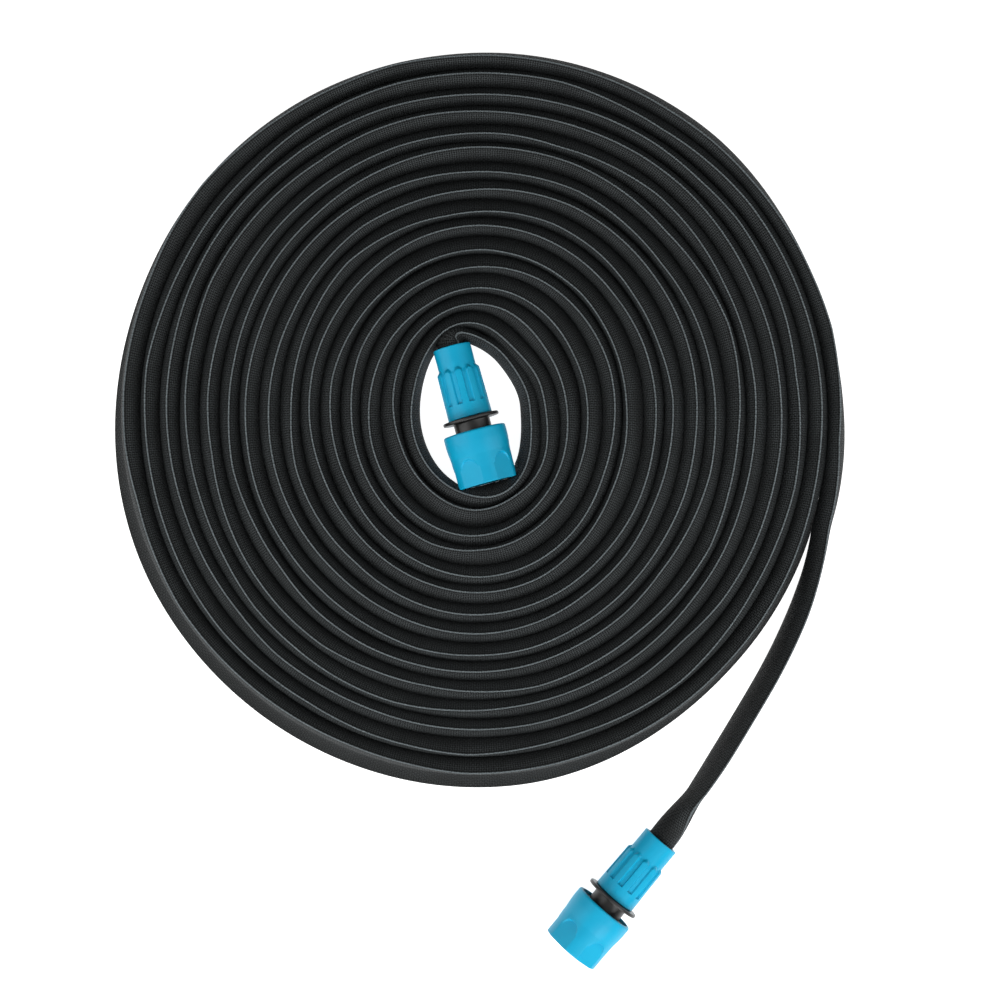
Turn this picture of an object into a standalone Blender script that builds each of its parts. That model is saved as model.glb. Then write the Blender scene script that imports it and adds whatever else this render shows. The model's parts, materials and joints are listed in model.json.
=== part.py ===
"""Soaker hose: a flat woven hose wound on edge into a flat coil, with a quick connector on each end.

Metres, +Z up. The origin is on the floor under the middle of the whole object. The coil stands on the hose's
lower fold, +X and +Y lie in the plane of the coil, and both connectors lie level beside it and in its hole.

Each connector is built along its own +Z: zero at the mouth of its nut, where the hose goes in, and rising
towards the socket. An empty lays it down in the coil's plane.
"""
import math

import bmesh
import bpy
from mathutils import Matrix, Vector

MM = 0.001
GAP = 0.3 * MM          # air between pieces that touch

# ---- The hose ----
HOSE_HEIGHT = 24.0 * MM         # the hose's flat width, which stands upright
HOSE_THICKNESS = 9.5 * MM       # across the slightly open hose
HOSE_ROUND = 15.3 * MM          # outside diameter where it is pulled round over a tail
HOSE_WALL = 1.3 * MM
HOSE_SQUEEZED = 7.0 * MM        # thickness where it is pressed into the inner hook
HOSE_GROUND = 0.3 * MM          # the free stretches start this far above the floor

# ---- The coil: rings from the outermost, number 0, to the innermost, number 15 ----
COIL_CENTRE = (-0.53 * MM, 50.7 * MM)
OUTER_RADIUS = 191.0 * MM               # middle of the hose, ring 0
RING_SHRINK = (10.75 * MM, 9.82 * MM)   # how much each ring's half width and half depth lose
RING_SHIFT = (-0.10 * MM, 0.20 * MM)    # how much each ring's middle moves
START_ANGLE = math.radians(-18.0)       # where the free end leaves the coil
STEADY_SHARE = 0.2                      # part of a ring lost evenly round the turn; the rest is lost in a step
STEP_MIDDLE = 0.905                     # where in the turn the step is
STEP_WIDTH = 0.28
FULL_TURNS = 15
END_ANGLE = math.radians(65.0)          # where the inner end leaves the last turn
HOLE_INSET = 2.0 * MM                   # the last turn is pressed this thin on its inner side
POINTS_PER_TURN = 72

# ---- Where the connectors lie: middle of the nut's mouth, and the way the socket points ----
AXIS_HEIGHT = 17.4 * MM
OUTER_MOUTH = (94.6 * MM, -177.8 * MM)
OUTER_HEADING = math.radians(230.0)
INNER_MOUTH = (-17.4 * MM, 86.1 * MM)
INNER_HEADING = math.radians(285.0)

# The free stretch, from the coil to the outer nut: points on the middle of the hose, seen from above.
FREE_ROUTE = [
    (180.7, -9.7), (177.5, -26.5), (173.2, -42.7), (168.0, -57.6), (160.2, -74.5), (151.9, -90.1),
    (143.9, -103.7), (136.3, -116.1), (129.5, -127.3), (122.9, -137.7), (116.6, -147.3), (110.3, -156.4),
    (103.9, -165.4),
]
# The hook at the inner end, from the last turn to the inner nut.
HOOK_ROUTE = [
    (9.9, 93.2), (6.1, 95.5), (1.9, 97.2), (-2.5, 98.3), (-6.9, 98.7), (-11.1, 98.4), (-14.9, 96.9),
    (-17.5, 94.2),
]

# ---- A connector, along its axis ----
LENGTH = 75.6 * MM
NUT_LENGTH = 39.0 * MM
SLEEVE_RADIUS = 10.2 * MM
SLEEVE_LENGTH = 12.0 * MM
SHOULDER_LENGTH = 2.2 * MM
GRIP_RADIUS = (11.6 * MM, 12.0 * MM)    # at the shoulder, at the flange
LIP_RADIUS = 8.1 * MM                   # hole in the nut's mouth
LIP_LENGTH = 2.2 * MM
NUT_BORE = 9.0 * MM
FLUTES = 11
FLUTE_RADIUS = 1.5 * MM
FLUTE_DEPTH = 0.6 * MM
FLUTE_END = 31.5 * MM

FLANGE_START = 39.3 * MM
FLANGE_LENGTH = 1.8 * MM
FLANGE_RADIUS = 15.3 * MM
NECK_RADIUS = 9.9 * MM
THREAD_RADIUS = 8.7 * MM
THREAD_START = 25.0 * MM
TAIL_START = 3.5 * MM
TAIL_RADIUS = 6.1 * MM
BARBS = 4
BARB_LENGTH = 5.0 * MM
WATERWAY_RADIUS = 4.2 * MM
SHOULDER_START = 48.2 * MM
BARREL_START = 50.6 * MM
BARREL_RADIUS = 12.0 * MM
BODY_SHOULDER_RADIUS = 14.6 * MM
SOCKET_RADIUS = 8.8 * MM
SOCKET_START = 57.0 * MM
BODY_END = 74.6 * MM
SEAL_GROOVE = (58.4 * MM, 61.4 * MM)
SEAL_GROOVE_RADIUS = 10.9 * MM
WINDOWS = 4
WINDOW_SPAN = (64.6 * MM, 68.6 * MM)
WINDOW_WIDTH = 6.0 * MM

COLLAR_START = 46.6 * MM
COLLAR_RADIUS = 17.0 * MM
COLLAR_WAIST_RADIUS = 16.2 * MM
COLLAR_MOUTH_RADIUS = 16.1 * MM
COLLAR_BORE = 15.0 * MM
COLLAR_MOUTH_BORE = 12.6 * MM
COLLAR_MOUTH_LENGTH = 2.2 * MM
COLLAR_TRAVEL = 3.0 * MM
FLATS = 5
FLAT_DISTANCE = 14.9 * MM               # from the axis to a flat, at the mouth
FLAT_START = 61.0 * MM
FLAT_TURN = math.radians(61.0)          # the first flat, from straight down

# ---- The water stop, in the inner connector only ----
CHAMBER_RADIUS = 6.9 * MM
CHAMBER_START = 42.0 * MM
SEAT_START = 53.6 * MM
SEAT_RADIUS = 5.4 * MM
PISTON_RADIUS = 6.4 * MM
PISTON_START = 49.2 * MM
PISTON_HEAD = 2.6 * MM
NOSE_RADIUS = 3.9 * MM
NOSE_END = 62.0 * MM
STEM_RADIUS = 2.1 * MM
STEM_START = 46.6 * MM
SPRING_RADIUS = 4.6 * MM
SPRING_WIRE = 0.45 * MM
SPRING_TURNS = 3.0

SIDES = 28              # facets round a turned piece


# ---------------------------------------------------------------- materials

def material(name, colour, roughness):
    """A plain finish: colour in linear RGB."""
    made = bpy.data.materials.new(name)
    made.use_nodes = True
    shader = made.node_tree.nodes["Principled BSDF"]
    shader.inputs["Base Color"].default_value = (*colour, 1.0)
    shader.inputs["Roughness"].default_value = roughness
    shader.inputs["Metallic"].default_value = 1.0 if name == "spring_steel" else 0.0
    made.diffuse_color = (*colour, 1.0)
    return made


# ---------------------------------------------------------------- building tools

def add_object(name, mesh, finish, parent=None):
    mesh.materials.append(finish)
    made = bpy.data.objects.new(name, mesh)
    bpy.context.scene.collection.objects.link(made)
    made.parent = parent
    return made


def mesh_from(name, build):
    """A mesh from a bmesh that build(bm) fills, with merged doubles and outward faces."""
    bm = bmesh.new()
    build(bm)
    bmesh.ops.remove_doubles(bm, verts=bm.verts, dist=0.001 * MM)
    bmesh.ops.recalc_face_normals(bm, faces=bm.faces)
    mesh = bpy.data.meshes.new(name)
    bm.to_mesh(mesh)
    bm.free()
    mesh.shade_smooth()
    mesh.set_sharp_from_angle(angle=math.radians(35))
    return mesh


def turned(name, profile, finish, parent, closed=True, sides=SIDES):
    """Spins an outline of (along, radius) points round the local Z axis; an open one starts and ends on it."""
    def build(bm):
        verts = [bm.verts.new((radius, 0, along)) for along, radius in profile]
        edges = [bm.edges.new(pair) for pair in zip(verts, verts[1:])]
        if closed:
            edges.append(bm.edges.new((verts[-1], verts[0])))
        bmesh.ops.spin(bm, geom=verts + edges, cent=(0, 0, 0), axis=(0, 0, 1), angle=2 * math.pi,
                       steps=sides, use_merge=True)
    return add_object(name, mesh_from(name, build), finish, parent)


def cutter(name, build, parent):
    """A shape that only cuts others."""
    made = bpy.data.objects.new(name, mesh_from(name, build))
    bpy.context.scene.collection.objects.link(made)
    made.parent = parent
    made.hide_render = True
    made.display_type = "WIRE"
    return made


def cut(target, tool, operation="DIFFERENCE"):
    step = target.modifiers.new(tool.name, "BOOLEAN")
    step.operation = operation
    step.object = tool


def add_box(bm, low, high, turn=0.0):
    """A box between two corners, turned round the local Z axis."""
    size = [b - a for a, b in zip(low, high)]
    middle = [(a + b) / 2 for a, b in zip(low, high)]
    place = Matrix.Rotation(turn, 4, "Z") @ Matrix.Translation(middle) @ Matrix.Diagonal((*size, 1))
    bmesh.ops.create_cube(bm, size=1.0, matrix=place)


def prism(name, outline, low, high, finish=None):
    """An outline in the floor's plane, raised from low to high."""
    def build(bm):
        face = bm.faces.new([bm.verts.new((x, y, low)) for x, y in outline])
        raised = bmesh.ops.extrude_face_region(bm, geom=[face])["geom"]
        tops = [part for part in raised if isinstance(part, bmesh.types.BMVert)]
        bmesh.ops.translate(bm, verts=tops, vec=(0, 0, high - low))
    if finish is None:
        return cutter(name, build, None)
    return add_object(name, mesh_from(name, build), finish)


# ---------------------------------------------------------------- the hose

def smooth_step(value):
    value = min(max(value, 0.0), 1.0)
    return value * value * (3 - 2 * value)


def ring_number(turns):
    """Which ring the hose is on after this many turns: it drifts in slowly and steps in once a turn."""
    first = STEP_MIDDLE - STEP_WIDTH / 2
    steps = sum(smooth_step((turns - turn - first) / STEP_WIDTH) for turn in range(FULL_TURNS + 1))
    return STEADY_SHARE * turns + (1 - STEADY_SHARE) * steps


def coil_point(turns, offset=0.0):
    """The middle of the hose after this many turns, moved outwards by offset."""
    ring = ring_number(turns)
    angle = START_ANGLE + 2 * math.pi * turns
    half = [OUTER_RADIUS - shrink * ring + offset for shrink in RING_SHRINK]
    return (COIL_CENTRE[0] + RING_SHIFT[0] * ring + half[0] * math.cos(angle),
            COIL_CENTRE[1] + RING_SHIFT[1] * ring + half[1] * math.sin(angle))


def one_turn(first, offset):
    return [coil_point(first + step / POINTS_PER_TURN, offset) for step in range(POINTS_PER_TURN + 1)]


def hose_coil(finish):
    """The whole coil as one ring, with the step where the free end leaves and the step at the inner end."""
    last_turn = FULL_TURNS - 1 + (END_ANGLE - START_ANGLE) / (2 * math.pi)
    ring = prism("hose_coil", one_turn(0.0, HOSE_THICKNESS / 2), 0.0, HOSE_HEIGHT, finish)
    hole = prism("coil_hole", one_turn(last_turn, -HOLE_INSET), -HOSE_HEIGHT, 2 * HOSE_HEIGHT)
    cut(ring, hole)


def smooth_route(points, steps):
    """Points at even steps on a Catmull-Rom curve through the route, which has a spare point at each end."""
    ends = [[2 * a - b for a, b in zip(points[0], points[1])], [2 * a - b for a, b in zip(points[-1], points[-2])]]
    route = [Vector(point) for point in [ends[0], *points, ends[1]]]
    dense = []
    for a, b, c, d in zip(route, route[1:], route[2:], route[3:]):
        for step in range(20):
            t = step / 20
            dense.append(0.5 * (2 * b + (c - a) * t + (2 * a - 5 * b + 4 * c - d) * t * t
                                + (3 * b - a - 3 * c + d) * t ** 3))
    dense.append(route[-2])
    reach = [0.0]
    for a, b in zip(dense, dense[1:]):
        reach.append(reach[-1] + (b - a).length)
    even, place = [], 0
    for step in range(steps + 1):
        want = reach[-1] * step / steps
        while place < len(dense) - 2 and reach[place + 1] < want:
            place += 1
        share = (want - reach[place]) / (reach[place + 1] - reach[place])
        even.append(dense[place].lerp(dense[place + 1], min(share, 1.0)))
    return even


def hose_section(height, thickness, openness, sides=12):
    """A pointed lens of the given height and thickness that opens to a circle: points (across, up)."""
    points = []
    for side in range(sides):
        angle = 2 * math.pi * side / sides
        up = math.cos(angle)
        lens = (thickness / 2 * (1 - up * up) * math.copysign(1.0, math.sin(angle)), height / 2 * up)
        circle = (HOSE_ROUND / 2 * math.sin(angle), HOSE_ROUND / 2 * up)
        points.append([a + (b - a) * openness for a, b in zip(lens, circle)])
    return points


def hose_stretch(name, route, heading, mouth, thickness, opening, steps, finish):
    """A stretch from the coil to a nut: upright and flat at first, round and at the nut's height at its end.

    opening gives how far before the nut's mouth the hose starts to open, and where it is round.
    """
    into_nut = Vector((math.cos(heading), math.sin(heading)))
    nut = Vector(mouth)
    ends = [nut - into_nut * 4 * MM, nut, nut + into_nut * (LIP_LENGTH + 0.3 * MM)]
    path = smooth_route([Vector(point) * MM for point in route] + ends, steps)
    total = len(path) - 1
    length = sum((b - a).length for a, b in zip(path, path[1:]))
    mouth_share = 1 - (LIP_LENGTH + 0.3 * MM) / length
    first, last = (mouth_share - distance / length for distance in opening)

    def build(bm):
        rings = []
        for index, point in enumerate(path):
            before, after = path[max(index - 1, 0)], path[min(index + 1, total)]
            along = (after - before).normalized()
            across = Vector((-along.y, along.x))
            share = index / total
            openness = smooth_step((share - first) / (last - first))
            squeezed = thickness + (HOSE_THICKNESS - thickness) * max(1 - 4 * share, 0.0)
            middle = HOSE_HEIGHT / 2 + (AXIS_HEIGHT - HOSE_HEIGHT / 2) * smooth_step((share - 0.2) / 0.65)
            height = HOSE_HEIGHT - 2 * HOSE_GROUND
            rings.append([bm.verts.new((point.x + across.x * side, point.y + across.y * side, middle + up))
                          for side, up in hose_section(height, squeezed, openness)])
        for ring, following in zip(rings, rings[1:]):
            for a, b, c, d in zip(ring, ring[1:] + ring[:1], following[1:] + following[:1], following):
                bm.faces.new((a, b, c, d))
        bm.faces.new(rings[0])
        bm.faces.new(rings[-1])
    return add_object(name, mesh_from(name, build), finish)


# ---------------------------------------------------------------- the connector's pieces

def clamp_nut(side, finish, parent):
    """Blue nut: a plain sleeve, a shoulder, and a grip with flutes that stop short of the flange."""
    grip = SLEEVE_LENGTH + SHOULDER_LENGTH
    nut = turned(f"{side}_nut", [
        (0.0, LIP_RADIUS), (0.0, SLEEVE_RADIUS - 0.5 * MM), (0.5 * MM, SLEEVE_RADIUS),
        (SLEEVE_LENGTH, SLEEVE_RADIUS), (grip, GRIP_RADIUS[0]), (NUT_LENGTH, GRIP_RADIUS[1]),
        (NUT_LENGTH, NUT_BORE), (LIP_LENGTH, NUT_BORE), (LIP_LENGTH, LIP_RADIUS),
    ], finish, parent, sides=33)

    def flutes(bm):
        for flute in range(FLUTES):
            turn = 2 * math.pi * flute / FLUTES
            slope = math.atan2(GRIP_RADIUS[1] - GRIP_RADIUS[0], NUT_LENGTH - grip)
            radius = GRIP_RADIUS[0] + FLUTE_RADIUS - FLUTE_DEPTH
            length = FLUTE_END - SLEEVE_LENGTH
            place = (Matrix.Rotation(turn, 4, "Z") @ Matrix.Translation((radius, 0, SLEEVE_LENGTH))
                     @ Matrix.Rotation(slope, 4, "Y") @ Matrix.Translation((0, 0, length / 2)))
            bmesh.ops.create_cone(bm, cap_ends=True, segments=8, radius1=FLUTE_RADIUS, radius2=FLUTE_RADIUS,
                                  depth=length, matrix=place)
    cut(nut, cutter(f"{side}_flute_cutter", flutes, parent))


def connector_body(side, finish, parent, valved):
    """Black body in one moulding: hose tail, thread, flange, neck, shoulder and socket with claw windows."""
    inside = [(BODY_END, SOCKET_RADIUS + 0.5 * MM), (BODY_END - 0.5 * MM, SOCKET_RADIUS),
              (SEAL_GROOVE[1], SOCKET_RADIUS), (SEAL_GROOVE[1], SEAL_GROOVE_RADIUS),
              (SEAL_GROOVE[0], SEAL_GROOVE_RADIUS), (SEAL_GROOVE[0], SOCKET_RADIUS)]
    if valved:
        inside += [(SEAT_START, SOCKET_RADIUS), (SEAT_START, CHAMBER_RADIUS), (CHAMBER_START, CHAMBER_RADIUS),
                   (CHAMBER_START, WATERWAY_RADIUS)]
    else:
        inside += [(SOCKET_START, SOCKET_RADIUS), (SOCKET_START, WATERWAY_RADIUS)]
    outside = [(TAIL_START, WATERWAY_RADIUS), (TAIL_START, TAIL_RADIUS - 0.8 * MM)]
    for barb in range(BARBS):
        start = TAIL_START + 0.6 * MM + BARB_LENGTH * barb
        outside += [(start, TAIL_RADIUS - 0.4 * MM), (start + BARB_LENGTH - 0.4 * MM, TAIL_RADIUS)]
    outside += [(THREAD_START, TAIL_RADIUS - 0.4 * MM), (THREAD_START, THREAD_RADIUS),
                (FLANGE_START, THREAD_RADIUS), (FLANGE_START, FLANGE_RADIUS - 0.3 * MM),
                (FLANGE_START + 0.3 * MM, FLANGE_RADIUS), (FLANGE_START + FLANGE_LENGTH - 0.3 * MM, FLANGE_RADIUS),
                (FLANGE_START + FLANGE_LENGTH, FLANGE_RADIUS - 0.3 * MM),
                (FLANGE_START + FLANGE_LENGTH, NECK_RADIUS), (SHOULDER_START, NECK_RADIUS),
                (SHOULDER_START, BODY_SHOULDER_RADIUS), (BARREL_START, BODY_SHOULDER_RADIUS),
                (BARREL_START, BARREL_RADIUS), (BODY_END, BARREL_RADIUS)]
    body = turned(f"{side}_body", outside + inside, finish, parent)

    def windows(bm):
        for window in range(WINDOWS):
            add_box(bm, (SOCKET_RADIUS - 2 * MM, -WINDOW_WIDTH / 2, WINDOW_SPAN[0]),
                    (BARREL_RADIUS + 2 * MM, WINDOW_WIDTH / 2, WINDOW_SPAN[1]), 2 * math.pi * window / WINDOWS)
    cut(body, cutter(f"{side}_window_cutter", windows, parent))


def claw_ring(side, finish, parent):
    """Split ring round the barrel, with a claw through each window that holds a tap adaptor's groove."""
    inner, outer = BARREL_RADIUS + GAP, BARREL_RADIUS + 1.7 * MM
    ring = turned(f"{side}_claw_ring", [
        (WINDOW_SPAN[0] - 2.4 * MM, inner), (WINDOW_SPAN[0] - 2.4 * MM, outer),
        (WINDOW_SPAN[1] + 0.4 * MM, outer), (WINDOW_SPAN[1] + 0.4 * MM, inner),
    ], finish, parent)

    def claws(bm):
        for window in range(WINDOWS):
            add_box(bm, (SOCKET_RADIUS - 0.8 * MM, GAP - WINDOW_WIDTH / 2, WINDOW_SPAN[0] + GAP),
                    (inner + 0.6 * MM, WINDOW_WIDTH / 2 - GAP, WINDOW_SPAN[1] - GAP), 2 * math.pi * window / WINDOWS)
    cut(ring, cutter(f"{side}_claws", claws, parent), "UNION")

    def split(bm):
        add_box(bm, (inner - 2 * MM, -0.8 * MM, WINDOW_SPAN[0] - 4 * MM),
                (outer + 2 * MM, 0.8 * MM, WINDOW_SPAN[1] + 4 * MM), math.pi / WINDOWS)
    cut(ring, cutter(f"{side}_claw_ring_split", split, parent))


def locking_collar(side, finish, parent):
    """Blue collar: round at the flange end, slightly waisted, with flats at the mouth; it slides to let go."""
    end = LENGTH
    collar = turned(f"{side}_collar", [
        (COLLAR_START, COLLAR_BORE), (COLLAR_START, COLLAR_RADIUS - 1.0 * MM),
        (COLLAR_START + 0.3 * MM, COLLAR_RADIUS - 0.4 * MM), (COLLAR_START + 1.0 * MM, COLLAR_RADIUS - 0.1 * MM),
        (COLLAR_START + 6.0 * MM, COLLAR_RADIUS), (FLAT_START - 3.0 * MM, COLLAR_WAIST_RADIUS + 0.3 * MM),
        (FLAT_START + 1.0 * MM, COLLAR_WAIST_RADIUS), (end - 4.0 * MM, COLLAR_MOUTH_RADIUS),
        (end - 0.4 * MM, COLLAR_MOUTH_RADIUS), (end, COLLAR_MOUTH_RADIUS - 0.5 * MM),
        (end, COLLAR_MOUTH_BORE), (end - COLLAR_MOUTH_LENGTH, COLLAR_MOUTH_BORE),
        (end - COLLAR_MOUTH_LENGTH - 1.0 * MM, COLLAR_BORE - 0.6 * MM), (BARREL_START + 4.4 * MM, COLLAR_BORE - 0.6 * MM),
        (BARREL_START + 3.8 * MM, COLLAR_BORE),
    ], finish, parent, sides=36)

    def flats(bm):
        for flat in range(FLATS):
            add_box(bm, (FLAT_DISTANCE, -8 * MM, FLAT_START), (COLLAR_RADIUS + 3 * MM, 8 * MM, end + MM),
                    FLAT_TURN + 2 * math.pi * flat / FLATS)
    cut(collar, cutter(f"{side}_flat_cutter", flats, parent))


def clamp_ring(side, finish, parent):
    """Split collet between the nut and the hose, cut by slots from its socket end so that it can close."""
    inner, outer, start, end = HOSE_ROUND / 2 + GAP, 8.65 * MM, LIP_LENGTH + 0.4 * MM, 14.0 * MM
    ring = turned(f"{side}_clamp_ring", [(start, inner), (start, outer - 0.5 * MM), (start + 1.5 * MM, outer),
                                         (end, outer), (end, inner)], finish, parent)

    def slots(bm):
        for slot in range(6):
            add_box(bm, (inner - MM, -0.6 * MM, start + 3.0 * MM), (outer + MM, 0.6 * MM, end + MM),
                    2 * math.pi * (slot + 0.5) / 6)
    cut(ring, cutter(f"{side}_clamp_slots", slots, parent))


def hose_cuff(side, finish, parent):
    """The end of the hose, stretched over the tail and held by the clamp ring."""
    start, end = LIP_LENGTH + 0.6 * MM, THREAD_START - 1.0 * MM
    turned(f"{side}_hose_cuff", [(start, HOSE_ROUND / 2 - HOSE_WALL), (start, HOSE_ROUND / 2),
                                 (end, HOSE_ROUND / 2), (end, HOSE_ROUND / 2 - HOSE_WALL)], finish, parent, sides=24)


def o_ring(name, middle, radius, cord, finish, parent):
    """A rubber ring: a circle of the cord's radius carried round the axis."""
    corners = [2 * math.pi * corner / 6 for corner in range(6)]
    turned(name, [(middle + cord * math.sin(angle), radius + cord * math.cos(angle)) for angle in corners],
           finish, parent, sides=24)


def water_stop(finishes, parent):
    """Valve in the inner connector: a spring closes it, and an adaptor's nose pushes the piston back."""
    cap = SOCKET_RADIUS - GAP
    turned("inner_valve_seat", [(SEAT_START + GAP, SEAT_RADIUS), (SEAT_START + GAP, cap),
                                (SEAL_GROOVE[0] - 0.4 * MM, cap), (SEAL_GROOVE[0] - 0.4 * MM, SEAT_RADIUS)],
           finishes["black"], parent)
    head_end = PISTON_START + PISTON_HEAD
    turned("inner_valve_piston", [
        (STEM_START, 0.0), (STEM_START, STEM_RADIUS), (PISTON_START, STEM_RADIUS), (PISTON_START, PISTON_RADIUS),
        (head_end, PISTON_RADIUS), (head_end, NOSE_RADIUS), (NOSE_END - 0.6 * MM, NOSE_RADIUS),
        (NOSE_END, NOSE_RADIUS - 0.6 * MM), (NOSE_END, 0.0),
    ], finishes["white"], parent, closed=False, sides=24)
    seal_cord = 0.7 * MM
    o_ring("inner_valve_seal", head_end + seal_cord + 0.2 * MM, 5.1 * MM, seal_cord, finishes["rubber"], parent)

    low, high = CHAMBER_START + SPRING_WIRE + GAP, PISTON_START - SPRING_WIRE - GAP
    curve = bpy.data.curves.new("inner_valve_spring", "CURVE")
    curve.dimensions = "3D"
    curve.bevel_depth = SPRING_WIRE
    curve.bevel_resolution = 1
    curve.use_fill_caps = True
    line = curve.splines.new("POLY")
    steps = int(12 * SPRING_TURNS)
    line.points.add(steps)
    for step in range(steps + 1):
        angle = 2 * math.pi * SPRING_TURNS * step / steps
        line.points[step].co = (SPRING_RADIUS * math.cos(angle), SPRING_RADIUS * math.sin(angle),
                                low + (high - low) * step / steps, 1.0)
    add_object("inner_valve_spring", curve, finishes["steel"], parent)


def connector(side, mouth, heading, finishes, valved):
    place = bpy.data.objects.new(f"{side}_connector", None)
    bpy.context.scene.collection.objects.link(place)
    lay_down = Matrix.Rotation(heading, 4, "Z") @ Matrix.Rotation(math.radians(90), 4, "Y")
    place.matrix_world = Matrix.Translation((*mouth, AXIS_HEIGHT)) @ lay_down
    clamp_nut(side, finishes["blue"], place)
    connector_body(side, finishes["black"], place, valved)
    claw_ring(side, finishes["white"], place)
    locking_collar(side, finishes["blue"], place)
    clamp_ring(side, finishes["white"], place)
    hose_cuff(side, finishes["hose"], place)
    groove_middle = sum(SEAL_GROOVE) / 2
    o_ring(f"{side}_socket_seal", groove_middle, SEAL_GROOVE_RADIUS - 1.5 * MM, 1.2 * MM, finishes["rubber"], place)
    if valved:
        water_stop(finishes, place)


def main():
    for old in list(bpy.data.objects):
        bpy.data.objects.remove(old)
    finishes = {
        "hose": material("woven_hose", (0.012, 0.013, 0.013), 0.8),
        "blue": material("blue_plastic", (0.020, 0.405, 0.650), 0.38),
        "black": material("black_plastic", (0.022, 0.021, 0.019), 0.42),
        "white": material("white_plastic", (0.75, 0.75, 0.72), 0.4),
        "rubber": material("seal_rubber", (0.015, 0.015, 0.015), 0.7),
        "steel": material("spring_steel", (0.55, 0.55, 0.56), 0.25),
    }
    hose_coil(finishes["hose"])
    hose_stretch("hose_free_end", FREE_ROUTE, OUTER_HEADING, OUTER_MOUTH, HOSE_THICKNESS,
                 (90 * MM, 12 * MM), 24, finishes["hose"])
    hose_stretch("hose_inner_end", HOOK_ROUTE, INNER_HEADING, INNER_MOUTH, HOSE_SQUEEZED,
                 (9 * MM, 0.0), 24, finishes["hose"])
    connector("outer", OUTER_MOUTH, OUTER_HEADING, finishes, valved=False)
    connector("inner", INNER_MOUTH, INNER_HEADING, finishes, valved=True)


main()
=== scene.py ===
"""Soaker hose: the looks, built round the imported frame.

A flat woven hose stands on edge in a flat coil. Each end runs into a quick connector: a blue clamp nut, a black
body and a blue locking collar. Metres, +Z up, the origin on the floor under the middle of the whole object.
"""
import json
import math

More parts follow.
